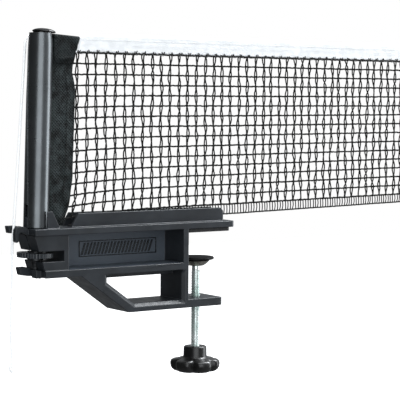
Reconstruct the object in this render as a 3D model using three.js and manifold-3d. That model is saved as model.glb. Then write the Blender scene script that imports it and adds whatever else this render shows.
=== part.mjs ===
// Table tennis net clamp with its post and the near end of its net.
// Millimetres, +Z up. The origin is where the clamp screw's axis meets the table top:
// +X runs along the net towards the middle of the table, +Y is the rear of the clamp.
import * as THREE from 'three';
import { mergeVertices } from 'three/addons/utils/BufferGeometryUtils.js';
import Module from 'manifold-3d';

const wasm = await Module();
wasm.setup();

// ---------------------------------------------------------------- driving dimensions
const GAP = 0.3; // left between two pieces that touch
const DEPTH = 16; // half of the moulded frame's depth

const FLANGE = { left: -154, right: 26.6, low: 3.2, top: 8.1, corner: 3 };
const LOWER = { left: -145.2, low: -28.3, top: -22.9 };
const WALL = { right: -17.5, upper: 5, lower: 5.6 };
const WINDOW = { top: -31.3, chamfer: 2.8, corner: -34.4 };
const PAD = { left: -15.2, right: 23.8, half: 13, corner: 2 };
const ARM = { left: -72.8, right: 15.3, low: -58.4, top: -52, corner: 2.5 };
const STRUT = { left: -114.8, thickness: 8.8 };
const PANEL = { left: -125.3, front: 10, rear: 13 };
const HOUSING = { right: -124.5, half: 14, groove: 1.1, grooveDepth: 1.6 };
const WHEEL_SLOT = { right: -128.5, low: -16.3, top: -8.5 };
const CHANNEL = { left: -118.8, topLeft: -112.8, right: 20.9, height: 10.2, outer: 8, inner: 5.5, cut: 2.5 };
const GUSSET = { left: -141.2, topRight: -136.8, right: -130.4, height: 12.6, outer: 11.4, inner: 9.9 };

const LEAN = THREE.MathUtils.degToRad(1.5); // the net's pull takes up the play in the post's foot
const POST = { x: -144.8, radius: 9.45, wall: 1.6, low: 0.6, top: 144.3, slot: 1.7 };
const POST_TAPER = [
  [9.45, 98], [9.2, 112], [9.12, 130], [8.95, 137], [8.75, 139.6], [8.55, 141.6], [8.3, 144.3],
];
const KEY_SLOT = { half: 2.5, top: 18, turn: THREE.MathUtils.degToRad(6) };
const SPIGOT = { radius: 7.3, top: 16, lug: 2.1, lugTop: 8, bore: 3.5 };
const CAP = { offset: 2.8, tilt: THREE.MathUtils.degToRad(3), plug: 5.6, plugLow: 139.5, seat: 144.9 };
const STUD = { radius: 3, low: -30.5, top: 24 };
const WHEEL = { radius: 13.7, low: -21.8, top: -18.2, teeth: 36, toothDepth: 0.55 };

const SCREW = { radius: 3.7, low: -108.3, shoulder: -27.8, neck: 2.4, top: -24.5 };
const DISC = { radius: 14.5, low: -22.4, top: -20.4 };
const DISH = { low: -27.5, rim: -23.4 };
const KNOB = {
  radius: 17.9, lobe: 2.1, lobes: 6, turn: 35,
  low: -111.8, top: -101.3, hub: 9.1, hubTop: -91.8,
};
const KNOB_INSERT = { radius: 6, low: -103.8, top: -93.4 };
const NUT = { flats: 13, low: -57.1, top: -53.3 };

const NET = { low: 14, top: 137.3, half: 0.5, end: 225.9 };
const TAPE = { left: -105.8, low: 137.6, top: 152.5, half: 1.9, cordZ: 150.6, bore: 1.3 };
const HEM_EDGE = [
  [-122.6, 9.2], [-120.9, 12.4], [-117.5, 20.5], [-115.3, 30], [-113.4, 46], [-113, 58], [-111.6, 98],
  [-111.2, 111], [-112.5, 118], [-113.9, 123], [-113.2, 130], [-110.2, 140.4], [-107.4, 150.4],
  [-114.2, 151.4],
];
const HEM = { half: 0.8, innerTop: 147.3 };
const FAR_HEM = { left: 226.2, right: 234.2, half: 2.4 };
const ROD = { radius: 2, farRadius: 1.6 };
const CORD = { radius: 1, steps: 60 };
const KNOT = { radius: 2.3, top: -92.9, low: -98 };

// ---------------------------------------------------------------- solids and booleans
function outward(geometry) {
  const position = geometry.getAttribute('position');
  const index = geometry.getIndex();
  const a = new THREE.Vector3();
  const b = new THREE.Vector3();
  const c = new THREE.Vector3();
  let volume = 0;
  for (let i = 0; i < index.count; i += 3) {
    a.fromBufferAttribute(position, index.getX(i));
    b.fromBufferAttribute(position, index.getX(i + 1));
    c.fromBufferAttribute(position, index.getX(i + 2));
    volume += a.dot(b.cross(c));
  }
  if (volume < 0) index.array.reverse();
  return geometry;
}

function closed(geometry) {
  const bare = geometry.clone();
  bare.deleteAttribute('normal');
  bare.deleteAttribute('uv');
  return outward(mergeVertices(bare, 1e-4));
}

function solid(geometry) {
  const merged = closed(geometry);
  const vertProperties = new Float32Array(merged.getAttribute('position').array);
  const triVerts = new Uint32Array(merged.getIndex().array);
  return new wasm.Manifold(new wasm.Mesh({ numProp: 3, vertProperties, triVerts }));
}

function geometryOf(manifold) {
  const mesh = manifold.getMesh();
  const geometry = new THREE.BufferGeometry();
  geometry.setAttribute('position', new THREE.BufferAttribute(new Float32Array(mesh.vertProperties), 3));
  geometry.setIndex(new THREE.BufferAttribute(new Uint32Array(mesh.triVerts), 1));
  return geometry;
}

function join(pieces) {
  return pieces.map(solid).reduce((whole, piece) => whole.add(piece));
}

function cut(whole, cutters) {
  return cutters.map(solid).reduce((rest, cutter) => rest.subtract(cutter), whole);
}

// ---------------------------------------------------------------- basic forms
function box(x0, x1, y0, y1, z0, z1) {
  const geometry = new THREE.BoxGeometry(x1 - x0, y1 - y0, z1 - z0);
  return geometry.translate((x0 + x1) / 2, (y0 + y1) / 2, (z0 + z1) / 2);
}

function cylinder(radius, z0, z1, segments = 40) {
  const geometry = new THREE.CylinderGeometry(radius, radius, z1 - z0, segments);
  return geometry.rotateX(Math.PI / 2).translate(0, 0, (z0 + z1) / 2);
}

function outline(points) {
  return new THREE.Shape(points.map(([x, y]) => new THREE.Vector2(x, y)));
}

// An outline drawn in X and Z, extruded from y0 to y1.
function sideProfile(points, y0, y1) {
  const geometry = new THREE.ExtrudeGeometry(outline(points), { depth: y1 - y0, bevelEnabled: false });
  return geometry.rotateX(Math.PI / 2).translate(0, y1, 0);
}

// An outline drawn in X and Y, extruded from z0 to z1.
function planProfile(shape, z0, z1) {
  const options = { depth: z1 - z0, bevelEnabled: false, curveSegments: 6 };
  return new THREE.ExtrudeGeometry(shape, options).translate(0, 0, z0);
}

function plateShape(left, right, half, corner) {
  const shape = new THREE.Shape();
  shape.moveTo(left, -half);
  shape.lineTo(right - corner, -half);
  shape.absarc(right - corner, -half + corner, corner, -Math.PI / 2, 0, false);
  shape.absarc(right - corner, half - corner, corner, 0, Math.PI / 2, false);
  shape.lineTo(left, half);
  return shape;
}

// A profile of [radius, z] points that starts and ends on the axis, or closes on itself.
function turned(profile, segments = 40) {
  const points = profile.map(([r, z]) => new THREE.Vector2(r, z));
  return new THREE.LatheGeometry(points, segments).rotateX(Math.PI / 2);
}

function ring(inner, outer, z0, z1, segments = 40) {
  return turned([[inner, z0], [outer, z0], [outer, z1], [inner, z1], [inner, z0]], segments);
}

function hexagon(flats, z0, z1) {
  return cylinder(flats / Math.sqrt(3), z0, z1, 6);
}

// ---------------------------------------------------------------- the leaning post's frame
const postPlace = new THREE.Matrix4()
  .makeRotationY(LEAN)
  .premultiply(new THREE.Matrix4().makeTranslation(POST.x, 0, FLANGE.top));

function onPost(geometry) {
  return geometry.applyMatrix4(postPlace);
}

function postAxisX(z) {
  return POST.x + (z - FLANGE.top) * Math.tan(LEAN);
}

// ---------------------------------------------------------------- clamp frame
// The housing's end face slopes from just inside the top flange's end to the lower flange's.
function endPlaneX(z) {
  const slope = (LOWER.left - FLANGE.left) / (FLANGE.low - LOWER.top);
  return FLANGE.left + GAP + (FLANGE.low - z) * slope;
}

function topFlange() {
  return planProfile(plateShape(FLANGE.left, FLANGE.right, DEPTH, FLANGE.corner), FLANGE.low, FLANGE.top);
}

function lowerFlange() {
  const right = WALL.right;
  return box(LOWER.left, right, -DEPTH, DEPTH, LOWER.low, LOWER.top);
}

function endWall() {
  const upper = box(WALL.right - WALL.upper, WALL.right, -DEPTH, DEPTH, LOWER.low, FLANGE.low + 1);
  const lower = box(WALL.right - WALL.lower, WALL.right, -DEPTH, DEPTH, ARM.top - 1, LOWER.low + 1);
  return [upper, lower];
}

function lowerArm() {
  return planProfile(plateShape(ARM.left, ARM.right, DEPTH, ARM.corner), ARM.low, ARM.top);
}

// The sloping strut from the lower flange down to the arm's left end.
const strutSlope = Math.atan2(LOWER.low - ARM.low, ARM.left - STRUT.left);
const strutAcross = STRUT.thickness / Math.sin(strutSlope);

function strutInnerX(z) {
  return STRUT.left + strutAcross + (LOWER.low - z) / Math.tan(strutSlope);
}

function strut() {
  const rise = STRUT.thickness / Math.cos(strutSlope);
  const cornerX = strutInnerX(WINDOW.corner);
  const profile = [
    [STRUT.left, LOWER.low + 1], [STRUT.left, LOWER.low], [ARM.left, ARM.low],
    [ARM.left + strutAcross, ARM.low], [ARM.left, ARM.low + rise],
    [cornerX, WINDOW.corner], [cornerX, LOWER.low + 1],
  ];
  return sideProfile(profile, -DEPTH, DEPTH);
}

// The chamfer around the window's front edge, as a flared plug to cut away.
function windowChamfer() {
  const wallLeft = WALL.right - WALL.lower;
  const cornerX = strutInnerX(WINDOW.corner);
  const corners = [
    [cornerX, WINDOW.top], [cornerX, WINDOW.corner], [strutInnerX(ARM.top), ARM.top],
    [wallLeft, ARM.top], [wallLeft, WINDOW.top],
  ];
  const plug = new THREE.ExtrudeGeometry(outline(corners), {
    depth: 4,
    bevelThickness: WINDOW.chamfer,
    bevelSize: WINDOW.chamfer + GAP,
    bevelOffset: -GAP,
    bevelSegments: 1,
  });
  return plug.rotateX(Math.PI / 2).translate(0.15, -DEPTH, -0.1);
}

function rearPanel() {
  return box(PANEL.left, WALL.right - 1, PANEL.front, PANEL.rear, LOWER.top - 1, FLANGE.low + 1);
}

function undersideRib() {
  return box(STRUT.left + 8, WALL.right - 2, -1.5, 1.5, LOWER.low - 4.2, LOWER.low + 1);
}

function socketHousing() {
  const profile = [
    [endPlaneX(FLANGE.low + 1), FLANGE.low + 1], [endPlaneX(LOWER.top - 1), LOWER.top - 1],
    [HOUSING.right, LOWER.top - 1], [HOUSING.right, FLANGE.low + 1],
  ];
  return sideProfile(profile, -HOUSING.half, HOUSING.half);
}

// The two upright walls that the net's bottom edge hangs between.
function netChannel() {
  const top = FLANGE.top + CHANNEL.height;
  const profile = [
    [CHANNEL.left, FLANGE.top - 1], [CHANNEL.right, FLANGE.top - 1], [CHANNEL.right, top - CHANNEL.cut],
    [CHANNEL.right - CHANNEL.cut, top], [CHANNEL.topLeft, top], [CHANNEL.left, FLANGE.top],
  ];
  return [
    sideProfile(profile, -CHANNEL.outer, -CHANNEL.inner),
    sideProfile(profile, CHANNEL.inner, CHANNEL.outer),
  ];
}

function postGussets() {
  const top = FLANGE.top + GUSSET.height;
  const profile = [
    [GUSSET.left, FLANGE.top - 1], [GUSSET.right, FLANGE.top - 1], [GUSSET.right, FLANGE.top],
    [GUSSET.topRight, top], [GUSSET.left, top],
  ];
  return [
    sideProfile(profile, -GUSSET.outer, -GUSSET.inner),
    sideProfile(profile, GUSSET.inner, GUSSET.outer),
  ];
}

// Two raised prongs with a notch between them, where the tension cord is led down.
function upperCleat() {
  const rear = [
    [-152, 7.6], [-153.6, 7.9], [-156.8, 9.3], [-160, 10.1], [-166.5, 10.1], [-166.7, 9.4], [-165.7, 4.8],
    [-158.8, 4.6], [-155, 3.5], [-152, 3.5],
  ];
  const front = [
    [-152, 7.6], [-153.6, 7.9], [-156.8, 9.5], [-160.8, 10.4], [-163.4, 10], [-165, 8], [-165.4, 5],
    [-165.2, -0.8], [-164.2, -1.8], [-162.8, -1.4], [-162.2, -0.4], [-162.2, 4.2], [-161.2, 5.6],
    [-157.8, 5.2], [-155, 3.5], [-152, 3.5],
  ];
  return [sideProfile(rear, 2.1, 8), sideProfile(front, -6.2, -2)];
}

function lowerCleat() {
  const rear = [
    [-144, -23.3], [-145.4, -23.1], [-148.8, -21.6], [-151.8, -20.9], [-157.4, -20.9], [-157.7, -21.6],
    [-156.3, -26.8], [-149.8, -27.8], [-144, -28],
  ];
  const front = [[-144, -23.2], [-150, -22.4], [-149.4, -28.7], [-145.4, -28.5], [-144, -28]];
  return [sideProfile(rear, 2.1, 8), sideProfile(front, -9, -2)];
}

// A hollow spigot with a lug: the post slides up on it, and the lug stops it from turning.
function postSpigot() {
  const post = onPost(cylinder(SPIGOT.radius, -2, SPIGOT.top));
  const lug = box(-POST.radius, -SPIGOT.radius + 2, -SPIGOT.lug, SPIGOT.lug, -2, SPIGOT.lugTop);
  return [post, onPost(lug.rotateZ(KEY_SLOT.turn))];
}

function frameCuts() {
  const slot = box(-160, WHEEL_SLOT.right, -DEPTH, DEPTH, WHEEL_SLOT.low, WHEEL_SLOT.top);
  const studBore = onPost(cylinder(SPIGOT.bore, STUD.low - 0.8, SPIGOT.top + 1, 24));
  const grooveTop = FLANGE.low;
  const groove = [
    [endPlaneX(grooveTop) - 2, grooveTop], [endPlaneX(LOWER.top) - 2, LOWER.top],
    [endPlaneX(LOWER.top) + HOUSING.grooveDepth, LOWER.top],
    [endPlaneX(grooveTop) + HOUSING.grooveDepth, grooveTop],
  ];
  const screwHole = cylinder(SCREW.radius + 0.5, ARM.low - 1, ARM.top + 1, 32);
  const nutPocket = hexagon(NUT.flats + 2 * GAP, NUT.low - GAP, NUT.top + GAP);
  const endGroove = sideProfile(groove, -HOUSING.groove, HOUSING.groove);
  return [slot, studBore, endGroove, windowChamfer(), screwHole, nutPocket];
}

function clampFrame() {
  const pieces = [
    topFlange(), lowerFlange(), ...endWall(), lowerArm(), strut(), rearPanel(), undersideRib(),
    socketHousing(), ...netChannel(), ...postGussets(), ...upperCleat(), ...lowerCleat(), ...postSpigot(),
  ];
  return geometryOf(cut(join(pieces), frameCuts()));
}

function jawPad() {
  const shape = plateShape(PAD.left, PAD.right, PAD.half, PAD.corner);
  return planProfile(shape, 0, FLANGE.low - GAP);
}

// ---------------------------------------------------------------- clamp screw
function captiveNut() {
  const nut = solid(hexagon(NUT.flats, NUT.low, NUT.top));
  return geometryOf(cut(nut, [cylinder(SCREW.radius + GAP, NUT.low - 1, NUT.top + 1)]));
}

function clampScrew() {
  const { radius, low, shoulder, neck, top } = SCREW;
  return turned([
    [0, low], [radius - 0.6, low], [radius, low + 0.6], [radius, shoulder],
    [neck, shoulder], [neck, top], [0, top],
  ]);
}

function retainingRing() {
  return ring(SCREW.neck + GAP, 4.2, SCREW.top - 1.1, SCREW.top - GAP, 32);
}

function pressureDish() {
  const { low, rim } = DISH;
  const hole = SCREW.neck + GAP;
  return turned([
    [hole, low], [6.2, low], [8.6, low + 1.5], [11.2, rim], [10, rim], [7.4, rim - 1.6],
    [5.2, low + 1.6], [hole, low + 1.6], [hole, low],
  ], 48);
}

// The swivelling pad, with a short snap skirt that sits inside the dish.
function pressureDisc() {
  const skirt = DISC.low - 1.2;
  return turned([
    [0, DISC.low], [6.8, DISC.low], [6.8, skirt], [7.6, skirt], [7.6, DISC.low],
    [DISC.radius - 0.5, DISC.low], [DISC.radius, DISC.low + 0.5], [DISC.radius, DISC.top - 0.6],
    [DISC.radius - 0.6, DISC.top], [0, DISC.top],
  ], 48);
}

function starShape(radius, lobe, lobes, turnDegrees) {
  const points = [];
  const steps = lobes * 12;
  for (let i = 0; i < steps; i += 1) {
    const angle = (i / steps) * 2 * Math.PI;
    const reach = radius + lobe * Math.cos(lobes * (angle + THREE.MathUtils.degToRad(turnDegrees)));
    points.push([reach * Math.cos(angle), reach * Math.sin(angle)]);
  }
  return outline(points);
}

function starKnob() {
  const bevel = 2.4;
  const star = new THREE.ExtrudeGeometry(
    starShape(KNOB.radius, KNOB.lobe, KNOB.lobes, KNOB.turn),
    {
      depth: KNOB.top - KNOB.low - 2 * bevel,
      bevelThickness: bevel,
      bevelSize: bevel,
      bevelOffset: -bevel,
      bevelSegments: 3,
    },
  ).translate(0, 0, KNOB.low + bevel);
  const hub = turned([
    [0, KNOB.top - 1], [KNOB.hub + 0.3, KNOB.top - 1], [KNOB.hub, KNOB.hubTop - 0.8],
    [KNOB.hub - 0.8, KNOB.hubTop], [0, KNOB.hubTop],
  ]);
  const bores = [
    cylinder(SCREW.radius + GAP, SCREW.low - 0.4, KNOB.hubTop + 1),
    cylinder(KNOB_INSERT.radius + GAP, KNOB_INSERT.low - GAP, KNOB_INSERT.top + GAP),
  ];
  return geometryOf(cut(join([star, hub]), bores));
}

function knobInsert() {
  return ring(SCREW.radius + GAP, KNOB_INSERT.radius, KNOB_INSERT.low, KNOB_INSERT.top);
}

// ---------------------------------------------------------------- height adjuster (post's own frame)
function heightWheel() {
  const points = [];
  const step = (2 * Math.PI) / WHEEL.teeth;
  const root = WHEEL.radius - WHEEL.toothDepth;
  for (let i = 0; i < WHEEL.teeth; i += 1) {
    for (const [part, reach] of [[0, root], [0.25, WHEEL.radius], [0.65, WHEEL.radius], [0.9, root]]) {
      const angle = (i + part) * step;
      points.push([reach * Math.cos(angle), reach * Math.sin(angle)]);
    }
  }
  const rim = planProfile(outline(points), WHEEL.low, WHEEL.top);
  return geometryOf(cut(solid(rim), [cylinder(STUD.radius + GAP, WHEEL.low - 1, WHEEL.top + 1, 24)]));
}

function upperWasher() {
  return ring(STUD.radius + GAP, 6, WHEEL.top + GAP, WHEEL.top + 1, 32);
}

function lowerWasher() {
  return ring(STUD.radius + GAP, 6, WHEEL.low - 2.1, WHEEL.low - GAP, 32);
}

function heightStud() {
  return turned([
    [0, STUD.low], [STUD.radius - 0.5, STUD.low], [STUD.radius, STUD.low + 0.5],
    [STUD.radius, STUD.top], [0, STUD.top],
  ], 24);
}

// ---------------------------------------------------------------- post (post's own frame)
// The tube narrows a little towards its top, and is open towards the net along its whole length.
function postTube() {
  const { radius, wall, low, top, slot } = POST;
  const inner = radius - wall;
  const tube = turned([[inner, low], [radius, low], ...POST_TAPER, [inner, top], [inner, low]], 96);
  const netSlot = box(inner - 2, radius + 1, -slot, slot, low - 1, top + 1);
  const keySlot = new THREE.Shape();
  keySlot.moveTo(-1, -KEY_SLOT.half);
  keySlot.lineTo(KEY_SLOT.top - KEY_SLOT.half, -KEY_SLOT.half);
  keySlot.absarc(KEY_SLOT.top - KEY_SLOT.half, 0, KEY_SLOT.half, -Math.PI / 2, Math.PI / 2, false);
  keySlot.lineTo(-1, KEY_SLOT.half);
  const cutter = planProfile(keySlot, 3, 12).rotateY(-Math.PI / 2).rotateZ(KEY_SLOT.turn);
  return geometryOf(cut(solid(tube), [netSlot, cutter]));
}

function postFoot() {
  const radius = POST.radius - POST.wall - GAP;
  return turned([
    [0, 36], [0, STUD.top + 0.5], [STUD.radius + GAP, STUD.top + 0.5], [STUD.radius + GAP, 17],
    [radius - 0.5, 17], [radius, 17.5], [radius, 36], [0, 36],
  ]);
}

// The cap's head sits off centre, pushed towards the net by the cord, and its plug is loose in the tube.
function postCap() {
  const { plug, plugLow, seat } = CAP;
  const head = turned([
    [0, 0], [8.2, 0], [8.7, 0.4], [8.4, 1.2], [7.2, 1.9], [5.2, 2.5], [2.8, 2.8], [0, 2.9],
  ], 48);
  const stem = turned([
    [0, plugLow], [plug - 0.5, plugLow], [plug, plugLow + 0.5], [plug, seat + 0.6], [0, seat + 0.6],
  ]);
  head.rotateY(CAP.tilt).translate(CAP.offset, 0, seat);
  return geometryOf(join([stem, head]));
}

function hemRod() {
  return cylinder(ROD.radius, 38, 139, 20);
}

// ---------------------------------------------------------------- net
function sideHem() {
  const inside = ROD.radius + GAP;
  const clear = POST.radius + 0.6;
  const low = 46.5; // the hem leaves the tube above the foot plug
  const profile = [
    [postAxisX(14) + clear, 9.2], ...HEM_EDGE, [postAxisX(HEM.innerTop) + clear, 151.6],
    [postAxisX(HEM.innerTop) + clear, HEM.innerTop], [postAxisX(HEM.innerTop) + inside, HEM.innerTop],
    [postAxisX(low) + inside, low], [postAxisX(low) + clear, low],
  ];
  return sideProfile(profile, -HEM.half, HEM.half);
}

function netMesh() {
  const edge = HEM_EDGE.filter(([, z]) => z > NET.low && z < NET.top).map(([x, z]) => [x + 0.5, z]);
  const lowLeft = [-119.7, NET.low];
  const highLeft = [-110.6, NET.top];
  const profile = [lowLeft, [NET.end, NET.low], [NET.end, NET.top], highLeft, ...edge.reverse()];
  return sideProfile(profile, -NET.half, NET.half);
}

function topTape() {
  const shape = new THREE.Shape();
  shape.moveTo(-TAPE.half, TAPE.low);
  shape.lineTo(TAPE.half, TAPE.low);
  shape.absarc(0, TAPE.cordZ, TAPE.half, 0, Math.PI, false);
  const hole = new THREE.Path();
  hole.absarc(0, TAPE.cordZ, TAPE.bore, 0, 2 * Math.PI, true);
  shape.holes.push(hole);
  const profile = { depth: NET.end - TAPE.left, bevelEnabled: false, curveSegments: 8 };
  const band = new THREE.ExtrudeGeometry(shape, profile);
  return band.rotateX(Math.PI / 2).rotateZ(Math.PI / 2).translate(TAPE.left, 0, 0);
}

// The hidden run of the tension cord, inside the folded tape.
function tapeCord() {
  const length = NET.end - TAPE.left - 1;
  const run = new THREE.CylinderGeometry(CORD.radius, CORD.radius, length, 12);
  return run.rotateZ(Math.PI / 2).translate((TAPE.left + NET.end) / 2, 0, TAPE.cordZ);
}

function farHem() {
  const middle = (FAR_HEM.left + FAR_HEM.right) / 2;
  const shape = outline([
    [FAR_HEM.left, -FAR_HEM.half], [FAR_HEM.right, -FAR_HEM.half],
    [FAR_HEM.right, FAR_HEM.half], [FAR_HEM.left, FAR_HEM.half],
  ]);
  const hole = new THREE.Path();
  hole.absarc(middle, 0, ROD.farRadius + GAP, 0, 2 * Math.PI, true);
  shape.holes.push(hole);
  return planProfile(shape, NET.low, TAPE.top);
}

function farRod() {
  const middle = (FAR_HEM.left + FAR_HEM.right) / 2;
  return cylinder(ROD.farRadius, NET.low + 0.5, TAPE.top - 0.5, 20).translate(middle, 0, 0);
}

// ---------------------------------------------------------------- tension cord
const CORD_ROUTE = [
  [-121.8, 2.1, 150.1], [-126.8, 2.6, 150.5], [-131.8, 6.6, 150.9], [-136.4, 10.2, 151.1], [-141.2, 11.2, 151],
  [-146, 10.2, 150.2], [-149.1, 8.2, 146.8], [-150.1, 7.4, 141], [-152, 6.3, 122], [-154.2, 5.1, 100],
  [-156.3, 4, 78], [-158.5, 2.9, 56], [-160.7, 1.7, 34], [-162.4, 0.8, 18], [-163.4, 0.2, 8],
  [-164.4, 0, 0], [-164.7, 0, -10], [-164.6, 0, -26], [-165.2, 0.3, -42], [-165.9, 0.2, -56],
  [-165.8, -0.2, -70], [-165.2, 0, -82], [-165.3, 0, -92.6],
];

function tensionCord() {
  const route = new THREE.CatmullRomCurve3(CORD_ROUTE.map((point) => new THREE.Vector3(...point)));
  const section = new THREE.Shape();
  for (let i = 0; i < 8; i += 1) {
    const angle = ((i + 0.5) * Math.PI) / 4;
    const x = CORD.radius * Math.cos(angle);
    const y = CORD.radius * Math.sin(angle);
    if (i === 0) section.moveTo(x, y);
    else section.lineTo(x, y);
  }
  return new THREE.ExtrudeGeometry(section, { steps: CORD.steps, extrudePath: route, bevelEnabled: false });
}

function cordKnot() {
  const middle = (KNOT.top + KNOT.low) / 2;
  return turned([
    [0, KNOT.low], [1.2, KNOT.low], [2, KNOT.low + 1], [KNOT.radius, middle],
    [2, KNOT.top - 1], [1.2, KNOT.top], [0, KNOT.top],
  ], 16).translate(-165.3, 0, 0);
}

// ---------------------------------------------------------------- assembly
const BLACK_PLASTIC = { color: 0x2b2f34, roughness: 0.45, metalness: 0 };
const GLOSS_PLASTIC = { color: 0x101114, roughness: 0.18, metalness: 0 };
const RUBBER = { color: 0x17181a, roughness: 0.85, metalness: 0 };
const ZINC = { color: 0xc9d2cc, roughness: 0.3, metalness: 1 };
const DARK_STEEL = { color: 0x2a2a2c, roughness: 0.4, metalness: 0.8 };
const POST_FINISH = { color: 0x2c2f36, roughness: 0.25, metalness: 0.4 };
const BLACK_FABRIC = { color: 0x14181a, roughness: 0.9, metalness: 0 };
const WHITE_FABRIC = { color: 0xf2f5f7, roughness: 0.8, metalness: 0 };

function piece(name, geometry, finish) {
  const mesh = new THREE.Mesh(closed(geometry), new THREE.MeshStandardMaterial(finish));
  mesh.name = name;
  return mesh;
}

const assembly = new THREE.Group();
assembly.add(
  piece('clamp_frame', clampFrame(), BLACK_PLASTIC),
  piece('jaw_pad', jawPad(), RUBBER),
  piece('captive_nut', captiveNut(), ZINC),
  piece('clamp_screw', clampScrew(), ZINC),
  piece('retaining_ring', retainingRing(), DARK_STEEL),
  piece('pressure_dish', pressureDish(), ZINC),
  piece('pressure_disc', pressureDisc(), RUBBER),
  piece('star_knob', starKnob(), GLOSS_PLASTIC),
  piece('knob_insert', knobInsert(), ZINC),
);

const postGroup = new THREE.Group();
postGroup.applyMatrix4(postPlace);
postGroup.add(
  piece('height_wheel', heightWheel(), BLACK_PLASTIC),
  piece('upper_thrust_washer', upperWasher(), ZINC),
  piece('lower_thrust_washer', lowerWasher(), ZINC),
  piece('height_stud', heightStud(), ZINC),
  piece('post_foot', postFoot(), BLACK_PLASTIC),
  piece('post_tube', postTube(), POST_FINISH),
  piece('post_cap', postCap(), BLACK_PLASTIC),
  piece('hem_rod', hemRod(), BLACK_PLASTIC),
);
assembly.add(postGroup);

assembly.add(
  piece('side_hem', sideHem(), BLACK_FABRIC),
  piece('net_mesh', netMesh(), BLACK_FABRIC),
  piece('net_top_tape', topTape(), WHITE_FABRIC),
  piece('tape_cord', tapeCord(), WHITE_FABRIC),
  piece('far_hem', farHem(), BLACK_FABRIC),
  piece('far_rod', farRod(), BLACK_PLASTIC),
  piece('tension_cord', tensionCord(), WHITE_FABRIC),
  piece('cord_knot', cordKnot(), WHITE_FABRIC),
);

export default assembly;
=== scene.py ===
"""The looks of the table tennis net clamp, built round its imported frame. Metres, in the row's frame."""
import math
import random

import bpy
import numpy as np
from mathutils import Matrix, Vector, noise


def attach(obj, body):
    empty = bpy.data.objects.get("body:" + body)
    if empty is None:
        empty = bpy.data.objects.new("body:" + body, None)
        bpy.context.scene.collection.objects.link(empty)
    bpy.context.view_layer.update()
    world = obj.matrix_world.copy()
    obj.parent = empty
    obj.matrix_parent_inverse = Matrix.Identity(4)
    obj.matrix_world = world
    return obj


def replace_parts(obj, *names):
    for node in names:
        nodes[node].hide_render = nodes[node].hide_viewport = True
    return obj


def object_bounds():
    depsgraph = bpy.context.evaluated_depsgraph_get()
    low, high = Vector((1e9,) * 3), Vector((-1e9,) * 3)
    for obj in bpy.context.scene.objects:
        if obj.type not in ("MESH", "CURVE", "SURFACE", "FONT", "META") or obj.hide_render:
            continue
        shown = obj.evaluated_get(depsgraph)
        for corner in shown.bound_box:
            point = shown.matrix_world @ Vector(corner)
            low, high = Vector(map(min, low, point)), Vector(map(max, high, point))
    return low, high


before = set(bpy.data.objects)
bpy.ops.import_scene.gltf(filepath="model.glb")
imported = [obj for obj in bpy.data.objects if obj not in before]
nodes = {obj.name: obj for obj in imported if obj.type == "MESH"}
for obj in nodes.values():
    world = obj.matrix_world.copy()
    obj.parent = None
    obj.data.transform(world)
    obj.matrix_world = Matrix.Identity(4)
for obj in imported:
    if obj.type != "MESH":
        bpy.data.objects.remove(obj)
cad_box = [list(corner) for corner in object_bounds()]
scene = bpy.context.scene
chance = random.Random(7)
MM = 0.001
COOL = (0.96, 0.99, 1.02)  # the colour of the lights and the room
YAW = math.radians(35.03)  # the camera stands this far to the left of the front

# Places and sizes in millimetres, and angles, that the part's source has too.
LEAN = math.radians(1.5)  # of the post, towards the net
POST_FOOT = Vector((-144.8, 0, 8.1))
POST_RADIUS = 9.45
CAP_OFFSET, CAP_SEAT, CAP_TILT = 2.8, 144.9, math.radians(3)
KNOT_CENTRE = np.array((-165.3, 0, -95.4))
HEM_EDGE = [
    (-122.6, 9.2), (-120.9, 12.4), (-117.5, 20.5), (-115.3, 30), (-113.4, 46), (-113, 58), (-111.6, 98),
    (-111.2, 111), (-112.5, 118), (-113.9, 123), (-113.2, 130), (-110.2, 140.4), (-107.4, 150.4),
    (-107.2, 152.6),
]
CORD_ROUTE = [
    (-121.8, 2.1, 150.1), (-126.8, 2.6, 150.5), (-131.8, 6.6, 150.9), (-136.4, 10.2, 151.1),
    (-141.2, 11.2, 151), (-146, 10.2, 150.2), (-149.1, 8.2, 146.8), (-150.1, 7.4, 141),
    (-152, 6.3, 122), (-154.2, 5.1, 100), (-156.3, 4, 78), (-158.5, 2.9, 56), (-160.7, 1.7, 34),
    (-162.4, 0.8, 18), (-163.4, 0.2, 8), (-164.4, 0, 0), (-164.7, 0, -10), (-164.6, 0, -26),
    (-165.2, 0.3, -42), (-165.9, 0.2, -56), (-165.8, -0.2, -70), (-165.2, 0, -82),
    (-165.3, 0, -92.6),
]

# Sizes that only the looks have.
ROWS = 15
NET_LEFT, NET_RIGHT = -109.6, 225.6
HEM_PLACE = -110  # where the net meets the hem, for slack that fades away from it
NET_TOP = 138.5  # the line under the tape, at the hem
KNOT_LINE = 2.35  # from the net's middle plane to the stitching under the tape
TAPE_LOW = 137.8
TAPE_SLOPE = 0.004  # the net's top sinks this much for each millimetre away from the post
TAPE_START = -107
ROW_STEP = 1.3  # between the points of a row of string
SLEEVE = (46.5, 147.3)  # between these heights the hem goes into the post's slot and round the rod
HEM_LAYER = 0.85  # from the hem's middle plane to each of its layers
ROD_TURN = 2.6  # the radius at which the sleeve goes round the rod
HEM_COLUMNS = 18  # points across each layer of the hem
CLOTH, TAPE_CLOTH = 0.45, 0.35  # thicknesses of the black cloth and of the tape
FLAP_LAYER, FLAP_LOW, FLAP_TOP = 1.75, 130.6, 149.3
TAPE_LAYER, TAPE_TURN = 1.72, 150.7  # from the tape's middle plane to each layer, and the height it folds at
FAR_MIDDLE, FAR_TURN, FAR_LAYER = 230.2, 2.3, 1.35  # the far hem's rod, its turn and its layers
LOBE_STEP, LOBE_VALLEY = 60, 230  # degrees between the knob's valleys, and where one of them is
ROUNDED_ABOVE = math.radians(30)  # edges sharper than this are rounded, or stay sharp on turned pieces


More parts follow.
